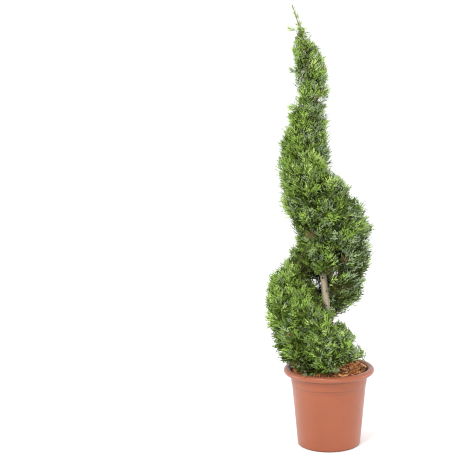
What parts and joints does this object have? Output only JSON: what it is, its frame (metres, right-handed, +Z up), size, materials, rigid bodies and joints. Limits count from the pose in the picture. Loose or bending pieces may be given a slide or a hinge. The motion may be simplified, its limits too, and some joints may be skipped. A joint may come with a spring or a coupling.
{
  "type": "potted spiral topiary",
  "caption": "Clipped evergreen shrub whose foliage climbs in a spiral round a bare leaning trunk, standing in a round tapered pot with a rolled rim.",
  "frame": {"origin": "centre of the pot's flat underside", "axes": "+Z up along the pot's axis; -Y towards the viewer, with +X to their right"},
  "size_m": [0.3542, 0.3338, 1.437],
  "materials": {
    "pot": "matte terracotta",
    "soil": "bark mulch",
    "trunk": "smooth pale bark",
    "bough": "rough brown bark",
    "foliage": "matte scale leaves"
  },
  "bodies": {
    "root": {"pot": "pot", "soil": "soil", "trunk": "trunk", "bough_01": "bough", "foliage_01": "foliage", "bough_02": "bough", "foliage_02": "foliage", "bough_03": "bough", "foliage_03": "foliage", "bough_04": "bough", "foliage_04": "foliage", "bough_05": "bough", "foliage_05": "foliage", "bough_06": "bough", "foliage_06": "foliage", "bough_07": "bough", "foliage_07": "foliage", "bough_08": "bough", "foliage_08": "foliage", "bough_09": "bough", "foliage_09": "foliage", "bough_10": "bough", "foliage_10": "foliage", "bough_11": "bough", "foliage_11": "foliage", "bough_12": "bough", "foliage_12": "foliage", "bough_13": "bough", "foliage_13": "foliage", "bough_14": "bough", "foliage_14": "foliage", "bough_15": "bough", "foliage_15": "foliage", "bough_16": "bough", "foliage_16": "foliage", "bough_17": "bough", "foliage_17": "foliage", "bough_18": "bough", "foliage_18": "foliage", "bough_19": "bough", "foliage_19": "foliage", "bough_20": "bough", "foliage_20": "foliage", "bough_21": "bough", "foliage_21": "foliage"}
  },
  "joints": []
}
